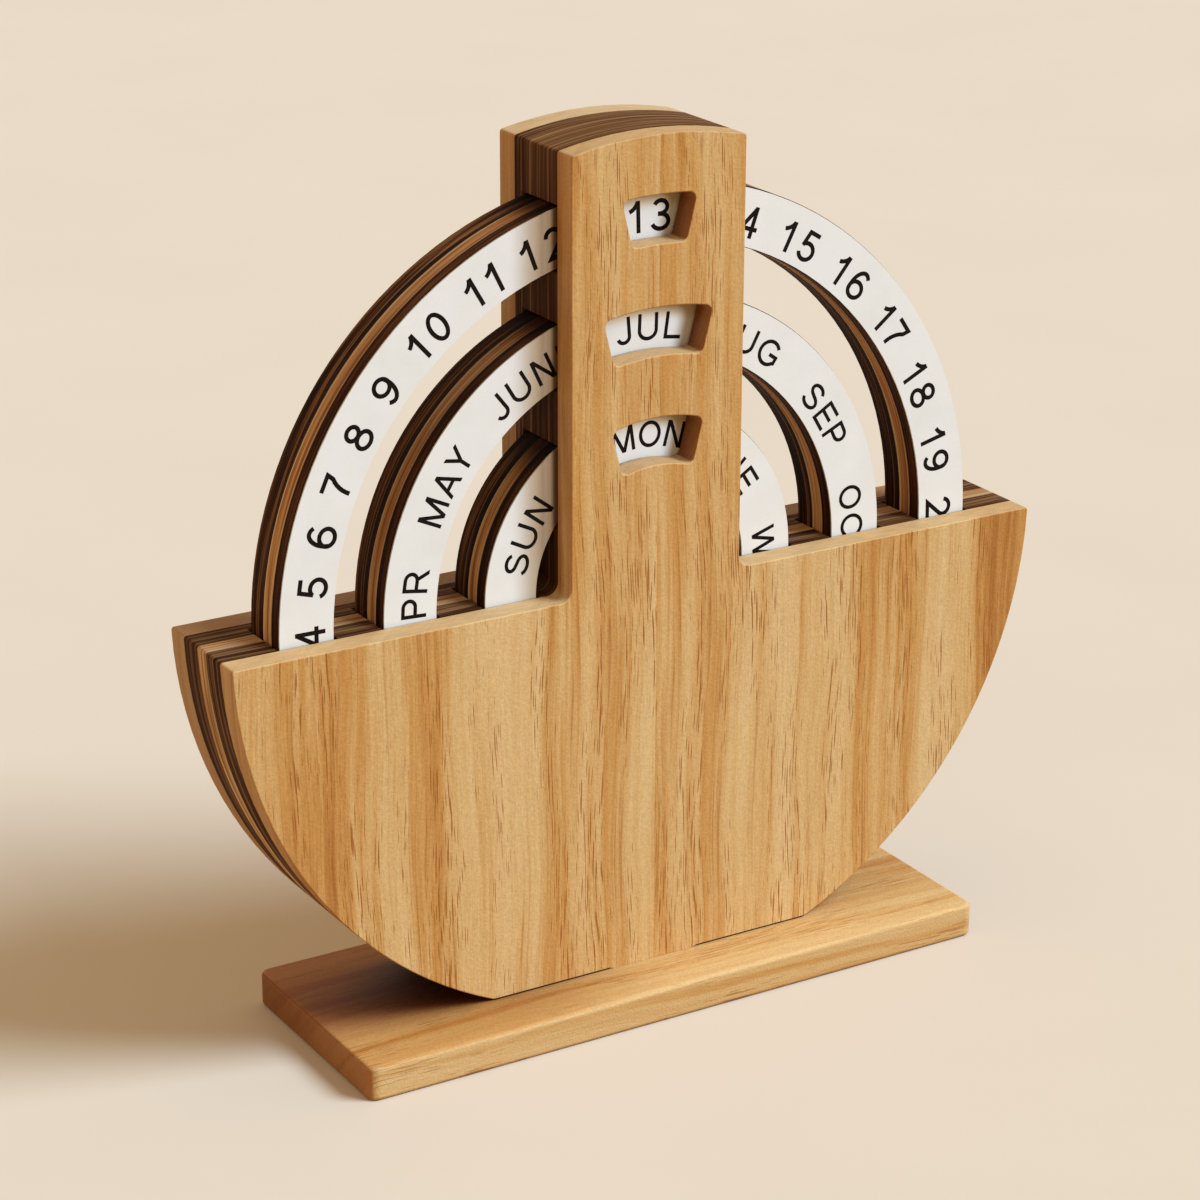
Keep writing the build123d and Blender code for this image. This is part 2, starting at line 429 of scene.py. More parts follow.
def mark_plate(tree, shader, colour):
    """Paints shade on the windows' upright walls and in the gap beside the tenon, and tones the
    tops.
    """
    place, facing = piece_place(tree)
    x, y, z = split(tree, place)
    tower_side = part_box("tower_cap_ply_1")[1].x / MM
    zone = tower_side - WALL_ZONE_MM
    inside = fade(tree, size_of(tree, x), zone, zone - 1.0)
    window_wall = times(tree, inside, turned(tree, facing, 0, 0.35, 0.75))
    # Painted shade on the windows' upright walls, darker towards the back of the recess
    front, back = (corner.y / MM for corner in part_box("front_plate"))
    wall_shade = blend(tree, fade(tree, y, front, back), WALL_SHADE_FRONT, WALL_SHADE_BACK)
    colour = tint(tree, window_wall, colour, wall_shade)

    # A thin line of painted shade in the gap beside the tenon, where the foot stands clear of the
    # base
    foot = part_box("base_board")[1].z / MM
    low = fade(tree, z, foot + FOOT_LINE_MM, foot + FOOT_LINE_MM + 0.15, 1.0, 0.0)
    beside = fade(tree, size_of(tree, x), TENON_HALF_MM, TENON_HALF_MM + 0.6)
    colour = tint(tree, times(tree, low, beside), colour, FOOT_SHADE)
    feed(tree, shader, Base_Color=wear_top(tree, place, facing, colour, PLATE_TOP_SHADE))


plate_hearts = [
    (-3.0, 15.0, 0.11), (-14.5, 3.5, 0.15), (-85.0, 45.0, 0.09), (45.0, 12.0, 0.06),
    (79.0, 12.0, 0.10), (98.0, 26.0, 0.19),
]
plate_wood, *parts = honey_wood("plate_wood_finish", "Z", 3.0, plate_hearts, PLATE_SIDE)
mark_plate(*parts)

# %% The back plate and its rim
# Painted shadow of the rings on the rim, and painted light on what looks up above them
RIM_SHADE = (0.62, 0.48, 0.38)
BACK_TOP_LIGHT = (0.94, 0.99, 1.12)
RIM_DEPTH_MM = 50.0  # below the rings' top


def dull_rim(tree, shader, colour):
    """Paints the rings' shadow on the rim that looks up below their top, and some shade on the
    sides.
    """
    place, facing = piece_place(tree)
    sides = turned(tree, facing, 1, 0.2, 0.6, 0.35, 0.0)
    ring_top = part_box("date_ring_label")[1].z / MM
    low = fade(tree, split(tree, place)[2], ring_top - RIM_DEPTH_MM, ring_top, 1.0, 0.0)
    share = times(tree, calc(tree, "MAXIMUM", looks_up(tree, facing), sides), low)
    colour = tint(tree, share, colour, RIM_SHADE)
    feed(tree, shader, Base_Color=wear_top(tree, place, facing, colour, BACK_TOP_LIGHT))


back_hearts = [(-50.0, 60.0, 0.08)]
back_wood, *parts = honey_wood("back_wood_finish", "Z", 41.0, back_hearts, BACK_SIDE)
dull_rim(*parts)

# %% [markdown]
# ## Painted shade on the base board
# Where the bowl comes down to the base board it shades it, and that shade is painted into the
# colour. Painting it by place alone would need the bowl's curve in the recipe. An ambient
# occlusion node asks instead how much open air a point sees, and finds the corner by itself. The
# left part, which the bowl shades, gets a warmer painted shade that deepens behind the front plate,
# and the board's cut ends go from pale at the front to dark at the back.

# %% The base board and its painted shade
BASE_LEFT_SHADE = (0.83, 0.67, 0.50)
BASE_BEHIND_SHADE = (0.66, 0.51, 0.465)
CORNER_SHADE = (0.13, 0.060, 0.040)
END_FRONT = (1.14, 1.18, 1.10)
END_BACK = (0.80, 0.76, 0.78)
AIR_REACH_MM = 40.0
SHADED_UP_TO, PLAIN_FROM = -42.0, 8.0  # mm to the right of the middle


def darken_corners(tree, shader, colour):
    """Paints shade on the board's left part, warmer, deeper behind the front plate, and darkest on
    what looks up and has something close above it. The ends of the board are darkest at the back."""
    occlusion = add_node(tree, "AmbientOcclusion", {"Distance": AIR_REACH_MM * MM}, samples=8)
    place, facing = piece_place(tree)
    x, y = split(tree, place)[:2]
    left = times(tree, fade(tree, x, SHADED_UP_TO, PLAIN_FROM, 1.0, 0.12), looks_up(tree, facing))
    stand_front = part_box("front_plate")[0].y / MM
    behind = fade(tree, y, stand_front - 4.0, stand_front + 10.0)
    colour = tint(tree, left, colour, BASE_LEFT_SHADE)
    colour = tint(tree, times(tree, behind, left), colour, BASE_BEHIND_SHADE)
    close = times(tree, fade(tree, occlusion.outputs["AO"], 0.15, 0.85, 1.0, 0.0), left)
    colour = tint(tree, close, colour, CORNER_SHADE)
    front, back = (corner.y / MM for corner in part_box("base_board"))
    end_tone = blend(tree, fade(tree, y, front, back), END_FRONT, END_BACK)
    end = turned(tree, facing, 0, 0.5, 0.8)
    feed(tree, shader, Base_Color=tint(tree, end, colour, end_tone))


base_hearts = [
    (8.0, 24.0, 0.07), (12.0, 2.6, 0.14), (21.0, 2.2, 0.12), (-10.5, 1.5, 0.12),
    (-22.0, 1.4, 0.12),
]
base_wood, *parts = honey_wood(
    "base_wood_finish", "X", 17.0, base_hearts, BASE_SIDE, contrast=0.65, cut_cover=0.5,
)
darken_corners(*parts)

# %% [markdown]
# ## The dark and the pale plies
# Between the plates the stand is a stack of thinner sheets, and each ring is such a stack too. Seen
# from the edge a sheet shows its own layers: long streaks that run level with the sheet. So the
# noise is squeezed along Y, the direction through the stack, and stretched along the other two.
# That works for the curved edges as well, because a curve at one depth stays inside one streak.
# Where a sheet shows its flat side, as on the backs of the rings, the figure of an upright board
# takes over. Where two sheets meet runs a thin glue line, and some joints get a painted highlight
# where a sheet's rounded edge would catch the light; their places are read from the boxes of the
# pieces, so they stay on the joint if a sheet becomes thicker. Faces that look up get painted light
# and shade for how the lamp falls on them.

# %% Edge-on layered wood
BROAD_LAYERS, FINE_LAYERS = (0.022, 0.60, 0.022), (0.035, 2.1, 0.035)
FLAT_FIGURE, EDGE_FIBRES = (0.40, 0.1, 0.012), (0.9, 5.0, 0.9)
TONE_STEPS = (0.26, 0.44, 0.56, 0.78)


def ply_line(tree, colour, depth, up, waviness, line):
    """The colour with one thin line across the stack. A line is (depth in mm, width in mm, colour,
    share, share on faces that look up)."""
    line_depth, width, line_colour, share, top_share = line
    off = size_of(tree, minus(tree, depth, line_depth))
    edge = times(tree, waviness, width / 2)
    inside = minus(tree, 1.0, fade(tree, calc(tree, "DIVIDE", off, edge), 0.45, 1.25))
    share_here = times(tree, inside, blend_value(tree, up, share, top_share))
    return blend(tree, share_here, colour, line_colour)


def layered_wood(name, stops, seed, contrast, top_lighting, lines):
    """Sheet wood seen from its edge. Faces that look up get painted light and shade from a tone."""
    finish, tree, shader = start_finish(name)
    place, facing = piece_place(tree)
    depth = split(tree, place)[1]
    up = looks_up(tree, facing)
    flat = turned(tree, facing, 1, 0.60, 0.90)
    broad = cloud(tree, place, BROAD_LAYERS, 2.0, 0.6, (seed, 0.0, 0.0))
    fine = cloud(tree, place, FINE_LAYERS, 2.0, 0.6, (0.0, seed, 0.0))
    edge_on = centred(tree, broad, contrast)
    edge_on = plus(tree, edge_on, centred(tree, fine, 0.9 * contrast))
    board = cloud(tree, place, FLAT_FIGURE, 4.0, 0.65, (0.0, 0.0, seed))
    figure = blend_value(tree, flat, edge_on, centred(tree, board, 0.8))
    colour = tones(tree, plus(tree, figure, 0.5), *zip(TONE_STEPS, stops))
    for line in lines:
        waviness = fade(tree, fine, 0.3, 0.7, 0.7, 1.2)
        colour = ply_line(tree, colour, depth, up, waviness, line)
    # Painted light and shade on faces that look up
    colour = blend(tree, up, colour, tint(tree, 1.0, colour, top_lighting))
    fibres = cloud(tree, place, EDGE_FIBRES, 2.0)
    roughness = fade(tree, fibres, 0.2, 0.8, 0.55, 0.75)
    feed(tree, shader, Base_Color=colour, Roughness=roughness, Normal=bump(tree, fine, 0.05))
    even(shader, Specular_IOR_Level=0.04)
    print(name, "has", len(lines), "lines across the stack")
    return finish


def joint_depth(front_piece):
    """The depth in millimetres at which this piece meets the one behind it."""
    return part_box(front_piece)[1].y / MM


# %% The sheets of the stand
WALNUT_TONES = (
    (0.022, 0.006, 0.002), (0.056, 0.019, 0.006), (0.092, 0.037, 0.014), (0.230, 0.118, 0.062),
)
OAK_BROWN = (0.280, 0.125, 0.050)
OAK_TONES = (OAK_BROWN, (0.680, 0.405, 0.200), (0.790, 0.500, 0.265), (0.900, 0.650, 0.410))
GLUE_LINE = (0.250, 0.128, 0.070)
# Painted highlight where a sheet's rounded edge would catch the light
HIGHLIGHT_LINE = (0.780, 0.600, 0.400)
# What faces that look up are multiplied by: painted light and shade
BOWL_TOP_LIGHT = (1.05, 1.05, 0.95)
TOWER_TOP_LIGHT = (1.40, 1.42, 1.24)
OAK_TOP_SHADE = (0.62, 0.52, 0.44)

bowl_lines = [
    (joint_depth("core_ply_1"), 1.0, GLUE_LINE, 0.95, 0.75),
    (joint_depth("core_ply_2") + 0.6, 1.2, HIGHLIGHT_LINE, 0.30, 1.00),
    (joint_depth("core_ply_3") - 2.1, 0.9, OAK_BROWN, 0.6, 0.3),
    (joint_depth("core_ply_4"), 0.8, GLUE_LINE, 0.7, 0.4),
]
tower_lines = [
    (joint_depth("core_ply_1"), 0.8, GLUE_LINE, 0.75, 0.4),
    (joint_depth("core_ply_2") + 1.5, 0.6, GLUE_LINE, 0.55, 0.4),
    (joint_depth("core_ply_3"), 0.9, GLUE_LINE, 0.95, 0.6),
    (joint_depth("core_ply_4"), 0.6, GLUE_LINE, 0.5, 0.4),
]
bowl_dark = layered_wood("bowl_dark_ply_finish", WALNUT_TONES, 2.0, 1.3, BOWL_TOP_LIGHT, bowl_lines)
bowl_pale = layered_wood("bowl_pale_ply_finish", OAK_TONES, 5.0, 1.6, OAK_TOP_SHADE, bowl_lines)
tower_dark = layered_wood("tower_ply_finish", WALNUT_TONES, 9.0, 0.6, TOWER_TOP_LIGHT, tower_lines)
print("lines of the bowl at", [round(line[0], 2) for line in bowl_lines], "mm")

# %% [markdown]
# ## The sheets of the rings
# A ring's sheets are darker than the stand's and worn smooth by fingers. Where a ring dips into the
# tower, hardly any light reaches its edges. A lamp alone leaves that corner too light, because the
# sky shines into it from the side, so the recipe darkens it. The dark belongs to the tower and not
# to the ring: it is painted by the place in the room, which a ring turns through.

# %% Tones and lines of the rings
RING_BLACK = (0.009, 0.003, 0.001)
RING_TONES = (
    RING_BLACK, (0.032, 0.009, 0.0025), (0.072, 0.023, 0.0075), (0.210, 0.092, 0.038),
)
FACE_TONES = (
    RING_BLACK, (0.030, 0.0075, 0.0017), (0.062, 0.018, 0.0050), (0.120, 0.045, 0.016),
)
RING_PALE_TONES = (
    (0.330, 0.135, 0.048), (0.510, 0.245, 0.100), (0.620, 0.330, 0.148), (0.780, 0.490, 0.260),
)
# What the rings' tops are multiplied by: painted light
RING_TOP_LIGHT = (1.1, 1.1, 1.0)

ring_lines = [
    (joint_depth("date_ring_face_ply") - 0.3, 0.9, RING_BLACK, 0.75, 0.75),
    (joint_depth("date_ring_face_ply") + 0.35, 0.4, HIGHLIGHT_LINE, 0.50, 0.50),
    (joint_depth("date_ring_pale_ply") - 0.2, 0.65, HIGHLIGHT_LINE, 0.80, 0.80),
    (joint_depth("date_ring_pale_ply") + 0.8, 0.8, RING_BLACK, 0.75, 0.75),
    (joint_depth("date_ring_middle_ply") - 0.3, 0.5, GLUE_LINE, 0.60, 0.60),
]
ring_dark = layered_wood("ring_dark_ply_finish", RING_TONES, 13.0, 1.2, RING_TOP_LIGHT, ring_lines)
ring_face = layered_wood("ring_face_ply_finish", FACE_TONES, 17.0, 1.2, RING_TOP_LIGHT, ring_lines)
ring_pale = layered_wood("ring_pale_ply_finish", RING_PALE_TONES, 21.0, 1.2, OAK_TOP_SHADE, ring_lines)

# %% The dark where a ring enters the tower
SLOT_DARK = (0.12, 0.07, 0.05)
INSIDE_FROM_MM, INSIDE_TO_MM = 4.0, 2.0  # behind the tower's side the dark fades in over this


def room_place(tree):
    """Where a point is in the room, in mm to the right, back and up, however its ring is turned."""
    position = add_node(tree, "NewGeometry").outputs["Position"]
    return [times(tree, part, 1 / MM) for part in split(tree, position)]


def darken_slots(finish, tone, reach_mm, near_mm):
    """Darkens a ring from near to reach beside the tower, but not what the windows show of it."""
    tree, shader, colour = take_up(finish)
    tower_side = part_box("tower_cap_ply_1")[1].x / MM
    off = size_of(tree, room_place(tree)[0])
    beside = fade(tree, off, tower_side + near_mm, tower_side + reach_mm, 1.0, 0.0)
    outside = fade(tree, off, tower_side - INSIDE_FROM_MM, tower_side - INSIDE_TO_MM)
    feed(tree, shader, Base_Color=tint(tree, times(tree, beside, outside), colour, tone))
    print(finish.name, "darkens up to", reach_mm, "mm beside the tower")


for finish in (ring_dark, ring_face, ring_pale):
    darken_slots(finish, SLOT_DARK, reach_mm=9.0, near_mm=1.0)

# %% [markdown]
# ## Printed card
# The dials are rings of white card on the face of the wood. Real card isn't one white: the pulp
# is slightly cloudy and its fibres make the surface a little uneven. The ink is a separate thin
# layer, near black and smoother than the card, so it has a recipe of its own. Beside the tower, in
# the tower's slot and under the upper edges of the windows the card is in shade, and that shade is
# painted into its colour, warmer and darker. Like the dark on the rings, it is painted by the place
# in the room.

# %% Card and ink
CARD_WHITE = (0.770, 0.780, 0.770)
CARD_WARM = (0.725, 0.725, 0.704)
INK = (0.0055, 0.0028, 0.0018)
INK_THIN = (0.012, 0.007, 0.005)
PULP, CARD_FIBRES, INK_CLOUDS = (0.12, 0.12, 0.12), (2.4, 2.4, 2.4), (1.5, 1.5, 1.5)

card, tree, shader = start_finish("card_finish")
place = piece_place(tree)[0]
pulp = cloud(tree, place, PULP, 3.0)
fibres = cloud(tree, place, CARD_FIBRES, 4.0, 0.65)
mottle = plus(tree, times(tree, pulp, 0.65), times(tree, fibres, 0.35))
colour = tones(tree, mottle, (0.30, CARD_WARM), (0.62, CARD_WHITE))
feed(tree, shader, Base_Color=colour, Normal=bump(tree, fibres, 0.02))
even(shader, Roughness=0.62, Specular_IOR_Level=0.3)

ink, tree, shader = start_finish("ink_finish")
cover = cloud(tree, piece_place(tree)[0], INK_CLOUDS, 3.0)
feed(tree, shader, Base_Color=tones(tree, cover, (0.35, INK), (0.70, INK_THIN)))
even(shader, Roughness=0.6, Specular_IOR_Level=0.05)
print("the ink reflects", round(INK[0] / CARD_WHITE[0], 4), "of what the card does")

# %% Painted shade on the card beside the tower and in the windows
CARD_SLOT_SHADE = (0.20, 0.11, 0.07)
CARD_SHADE = (0.58, 0.44, 0.30)
CARD_WINDOW_SHADE = (0.78, 0.64, 0.43)
SHADE_NEAR, SHADE_FAR = (1.6, 3.4), (4.0, 11.5)  # mm from the tower's side
WINDOW_SHADE_DEPTH = (3.2, 6.4)  # mm inside a dial's outer edge
WINDOW_ZONE = (17.0, 19.0)  # mm from the tower's middle


def shade_card(finish):
    """Paints shade on the card: in the tower's shade on the left, and under the windows' upper
    edges.
    """
    tree, shader, colour = take_up(finish)
    x, _, z = room_place(tree)
    left = minus(tree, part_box("tower_cap_ply_1")[0].x / MM, x)
    shade = times(tree, fade(tree, left, *SHADE_NEAR), fade(tree, left, *SHADE_FAR, 1.0, 0.0))
    colour = tint(tree, shade, colour, CARD_SHADE)

    # How far a point is inside its dial's outer edge; the dials' edges are all one step apart
    low, high = (corner.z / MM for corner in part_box("date_ring_label"))
    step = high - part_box("month_ring_label")[1].z / MM
    rise = minus(tree, z, (low + high) / 2)
    squared = calc(tree, "MULTIPLY_ADD", x, x, times(tree, rise, rise))
    radius = calc(tree, "SQRT", squared)
    inside = calc(tree, "MODULO", minus(tree, (high - low) / 2, radius), step)
    # Painted shade under the windows' upper edges
    in_tower = fade(tree, size_of(tree, x), *WINDOW_ZONE, 1.0, 0.0)
    window_shade = times(tree, fade(tree, inside, *WINDOW_SHADE_DEPTH, 1.0, 0.0), in_tower)
    feed(tree, shader, Base_Color=tint(tree, window_shade, colour, CARD_WINDOW_SHADE))
    print("the dials' outer edges are", round(step, 2), "mm apart")


# A thin line of painted shade where the card runs into the tower's slot
darken_slots(card, CARD_SLOT_SHADE, reach_mm=1.6, near_mm=0.2)
shade_card(card)

# %% [markdown]
# ## Dressing the pieces of the model
# Every solid keeps its shape and only changes its finish. The names say which finish a piece takes:
# the plates and the board are honey-coloured, one sheet of the bowl and one of each ring is pale,
# the tower's filler is dark throughout, and a label is card. Picking each piece by hand in the
# editor would do as well, but a rule on names also dresses a piece that is added later.

# %% Which piece takes which finish
def finish_for(name):
    """The finish of a piece of the model, by its name."""
    boards = {"base_board": base_wood, "front_plate": plate_wood, "back_plate": back_wood}
    if name in boards:
        return boards[name]
    if "_ring_" in name:
        ring_sheets = {"label": card, "face_ply": ring_face, "pale_ply": ring_pale}
        return ring_sheets.get(name.split("_ring_")[1], ring_dark)
    if name.startswith(("core", "lower_tower", "upper_tower", "tower_cap")):
        return tower_dark
    return bowl_pale if name.endswith("ply_3") else bowl_dark


for name, solid in nodes.items():
    solid.data.materials.clear()
    solid.data.materials.append(finish_for(name))
print("dressed", len(nodes), "pieces")

# %% [markdown]
# ## The printing
# The dials are lettered in a plain, even-stroked sans serif. A ready font would do, but its
# letters come as filled outlines of unknown weight, while a sign painter thinks in strokes: a
# pen of one width that runs along lines and arcs. Each letter below is a short list of strokes in
# a box one unit tall. Widening a stroke gives a strip of small quads, and a flat triangulation
# merges all strips of a letter into one clean shape, holes included.

# %% The pen
PEN = 0.138  # width of a stroke, as a share of a capital's height
HALF = PEN / 2
LEFT = HALF  # where the middle of a stem at the left runs
TOP, BOTTOM = 1.0 - HALF, HALF
WAIST = 0.525
ARC_STEP = 9.0  # degrees between two points of an arc
SHARPEST_MITRE = 0.35  # keeps the tip of a sharp corner from running far out


def arc(x, y, radius_x, radius_y, start, end):
    """Points along part of an ellipse, angles in degrees, counter-clockwise when end is larger."""
    count = max(2, math.ceil(abs(end - start) / ARC_STEP))
    turns = [math.radians(start + (end - start) * i / count) for i in range(count + 1)]
    return [(x + radius_x * math.cos(t), y + radius_y * math.sin(t)) for t in turns]


def pen_strip(points, closed=False):
    """Left and right edges of a stroke along these points, mitred at each corner."""
    line = [Vector(p) for p in points]
    count = len(line)
    left, right = [], []
    for i, here in enumerate(line):
        before = line[i - 1] if i or closed else None
        after = line[(i + 1) % count] if i < count - 1 or closed else None
        come = (here - before).normalized() if before else (after - here).normalized()
        go = (after - here).normalized() if after else come
        side = Vector((-(come + go).y, (come + go).x)).normalized()
        reach = HALF / max(SHARPEST_MITRE, side.dot(Vector((-come.y, come.x))))
        left.append(here + side * reach)
        right.append(here - side * reach)
    return left, right


print("a stroke is", PEN, "of a capital's height")


# %% Strokes
def pen(*points):
    """A stroke with square ends, as a list of quads."""
    left, right = pen_strip(points)
    return [(left[i], right[i], right[i + 1], left[i + 1]) for i in range(len(left) - 1)]


def loop(*points):
    """A closed stroke; the last point isn't the first one again."""
    left, right = pen_strip(points, closed=True)
    count = len(left)
    after = [*range(1, count), 0]
    return [(left[i], right[i], right[j], left[j]) for i, j in enumerate(after)]


def slant(x_low, y_low, x_high, y_high):
    """A straight stroke whose ends are cut level, as where a diagonal meets the baseline."""
    rise = y_high - y_low
    half = HALF * math.hypot(x_high - x_low, rise) / rise
    low, high = Vector((x_low, y_low)), Vector((x_high, y_high))
    out = Vector((half, 0.0))
    return [(low - out, low + out, high + out, high - out)]


def oval(x, y, radius_x, radius_y):
    """A closed ellipse."""
    return loop(*arc(x, y, radius_x, radius_y, 0, 360)[:-1])


def stem(x, low=0.0, high=1.0):
    """An upright stroke."""
    return pen((x, low), (x, high))


def bar(left, right, y):
    """A level stroke."""
    return pen((left, y), (right, y))


def half_bowl(stem_x, straight, radius, low, high):
    """The round of a B, D, P or R: out from the stem, round to the right and back."""
    middle, rise = (low + high) / 2, (high - low) / 2
    bend = arc(straight, middle, radius, rise, 90, -90)
    return pen((stem_x, high), *bend, (stem_x, low))


print("a stem is", len(stem(LEFT)), "quad and an oval is", len(oval(0.5, 0.5, 0.4, 0.4)))

# %% The letters
LETTERS = {
    "A": slant(0.067, 0, 0.425, 1) + slant(0.783, 0, 0.425, 1) + bar(0.17, 0.68, 0.31),
    "B": stem(LEFT) + half_bowl(LEFT, 0.39, 0.235, WAIST, TOP)
    + half_bowl(LEFT, 0.40, 0.260, BOTTOM, WAIST),
    "C": pen(*arc(0.475, 0.5, 0.4125, 0.4375, 38, 322)),
    "D": stem(LEFT) + half_bowl(LEFT, 0.35, 0.4175, BOTTOM, TOP),
    "E": stem(LEFT) + bar(LEFT, 0.70, TOP) + bar(LEFT, 0.66, WAIST) + bar(LEFT, 0.72, BOTTOM),
    "F": stem(LEFT) + bar(LEFT, 0.68, TOP) + bar(LEFT, 0.60, 0.49),
    "G": pen(*arc(0.4925, 0.5, 0.43, 0.4375, 40, 318), (0.8775, 0.235), (0.8775, 0.46),
             (0.53, 0.46)),
    "H": stem(LEFT) + stem(0.735) + bar(LEFT, 0.735, WAIST),
    "I": stem(LEFT),
    "J": pen((0.5375, 1.0), *arc(0.3, 0.285, 0.2375, 0.2225, 0, -165)),
    "L": stem(LEFT) + bar(LEFT, 0.70, BOTTOM),
    "M": stem(LEFT) + stem(0.8775) + slant(0.47, 0, 0.085, 1) + slant(0.47, 0, 0.855, 1),
    "N": stem(LEFT) + stem(0.7075) + slant(0.680, 0, 0.090, 1),
    "O": oval(0.46, 0.5, 0.3975, 0.4375),
    "P": stem(LEFT) + half_bowl(LEFT, 0.42, 0.2425, 0.445, TOP),
    "R": stem(LEFT) + half_bowl(LEFT, 0.45, 0.2450, 0.455, TOP) + slant(0.775, 0, 0.50, 0.45),
    "S": pen(*arc(0.405, 0.735, 0.290, 0.2025, 12, 258),
             *arc(0.405, 0.285, 0.3375, 0.2225, 80, -165)),
    "T": stem(0.40) + bar(0.0, 0.80, TOP),
    "U": pen((LEFT, 1.0), *arc(0.415, 0.375, 0.3525, 0.3125, 180, 360), (0.7675, 1.0)),
    "V": slant(0.42, 0, 0.067, 1) + slant(0.42, 0, 0.773, 1),
    "W": slant(0.315, 0, 0.067, 1) + slant(0.315, 0, 0.605, 1)
    + slant(0.895, 0, 0.605, 1) + slant(0.895, 0, 1.143, 1),
    "Y": slant(0.39, 0.42, 0.074, 1) + slant(0.39, 0.42, 0.706, 1) + stem(0.39, 0.0, 0.44),
}
print("letters drawn:", "".join(LETTERS))

# %% The figures
FIGURES = {
    "0": oval(0.315, 0.5, 0.2525, 0.4375),
    "1": pen(*arc(-0.12, 1.10, 0.43, 0.43, -74, -16)) + stem(0.31),
    "2": pen(*arc(0.335, 0.690, 0.255, 0.2475, 172, -32), (0.095, BOTTOM), (0.65, BOTTOM)),
    "3": pen(*arc(0.345, 0.735, 0.235, 0.2025, 158, -90), (0.26, WAIST))
    + pen((0.26, WAIST), *arc(0.355, 0.2925, 0.290, 0.2300, 90, -160)),
    "4": pen((0.455, 0.93), (0.075, 0.295), (0.665, 0.295)) + stem(0.47),
    "5": pen((0.60, TOP), (0.185, TOP), (0.118, 0.46))
    + pen(*arc(0.325, 0.325, 0.275, 0.2625, 142, -160)),
    "6": oval(0.340, 0.320, 0.275, 0.2575) + pen(*arc(0.375, 0.44, 0.310, 0.4975, 205, 52)),
    "7": pen((0.055, TOP), (0.620, TOP), *arc(1.00, 0.02, 0.72, 0.88, 128, 180)),
    "8": oval(0.340, 0.740, 0.2225, 0.1975) + oval(0.340, 0.290, 0.2775, 0.2275),
    "9": oval(0.325, 0.680, 0.265, 0.2575) + pen(*arc(0.29, 0.56, 0.300, 0.4975, 25, -128)),
}
GLYPHS = {**LETTERS, **FIGURES}
print("figures drawn:", "".join(FIGURES))


# %% From strokes to one flat shape
SAME_POINT = 1e-5  # closer points count as one, as a share of a capital's height


def flat_shape(quads):
    """The union of all quads as points, triangles and outline edges."""
    points, faces = [], []
    for quad in quads:
        faces.append(list(range(len(points), len(points) + 4)))
        points.extend(Vector(corner) for corner in quad)
    triangles_inside_only = 1
    merged = delaunay_2d_cdt(points, [], faces, triangles_inside_only, SAME_POINT)
    found, triangles, sources = merged[0], merged[2], merged[5]
    inside = [tuple(t) for t, source in zip(triangles, sources) if source]
    used = dict.fromkeys(edge for t in inside for edge in zip(t, t[1:] + t[:1]))
    outline = [edge for edge in used if edge[::-1] not in used]
    return found, inside, outline


def glyph_extent(glyph):
    """The lowest and highest X of a glyph."""
    xs = [corner[0] for quad in GLYPHS[glyph] for corner in quad]
    return min(xs), max(xs)


shapes = {glyph: flat_shape(quads) for glyph, quads in GLYPHS.items()}
print("triangles in the glyphs:", sum(len(shape[1]) for shape in shapes.values()))

# %% [markdown]
# ## Printing a ring
# On a dial the words follow the ring, but the letters stay straight: each one stands on the arc by
# itself, turned to its own angle, with its foot towards the axis. The ink is a layer a few
# hundredths of a millimetre thick that starts just inside the card, so the two never share a face.

# %% The air between letters
STEM_AIR, ROUND_AIR, OPEN_AIR = 0.15, 0.11, 0.06  # beside a glyph, as shares of its height
ROUND_LEFT, OPEN_LEFT = set("CGOS0235689"), set("AJTVWY47")
ROUND_RIGHT, OPEN_RIGHT = set("BDGOS0235689"), set("ACEFLPRTVWY47")
AIR_BEFORE_ONE, AIR_AFTER_ONE = 0.10, 0.23


def side_air(glyph):
    """The air that a glyph wants at its left and at its right."""
    if glyph == "1":
        return AIR_BEFORE_ONE, AIR_AFTER_ONE
    left = OPEN_AIR if glyph in OPEN_LEFT else ROUND_AIR if glyph in ROUND_LEFT else STEM_AIR
    right = OPEN_AIR if glyph in OPEN_RIGHT else ROUND_AIR if glyph in ROUND_RIGHT else STEM_AIR
    return left, right


def letter_places(word, tracking):
    """Each glyph, its origin along the word from the middle of what is inked, and its middle."""
    places, reach = [], 0.0
    for glyph in word:
        low, high = glyph_extent(glyph)
        before, after = side_air(glyph)
        if places:
            reach += before + tracking
        places.append((glyph, reach - low, (low + high) / 2))
        reach += high - low
        inked = reach
        reach += after
    return [(glyph, start - inked / 2, centre) for glyph, start, centre in places]


print("MAY is set at", [round(start, 2) for _, start, _ in letter_places("MAY", 0.0)])

# %% Words round a ring
AXIS_HEIGHT = (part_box("date_ring_label")[0].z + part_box("date_ring_label")[1].z) / 2
INK_PROUD = 0.04 * MM
INK_SUNK = 0.05 * MM


def standing_angles(words, steps, top_word, top_angle):
    """The angle of each word's middle; steps[i] leads clockwise from word i to the next one."""
    passed = [sum(steps[:index]) for index in range(len(words))]
    shift = passed[words.index(top_word)]
    return [math.radians(top_angle + shift - turn) for turn in passed]


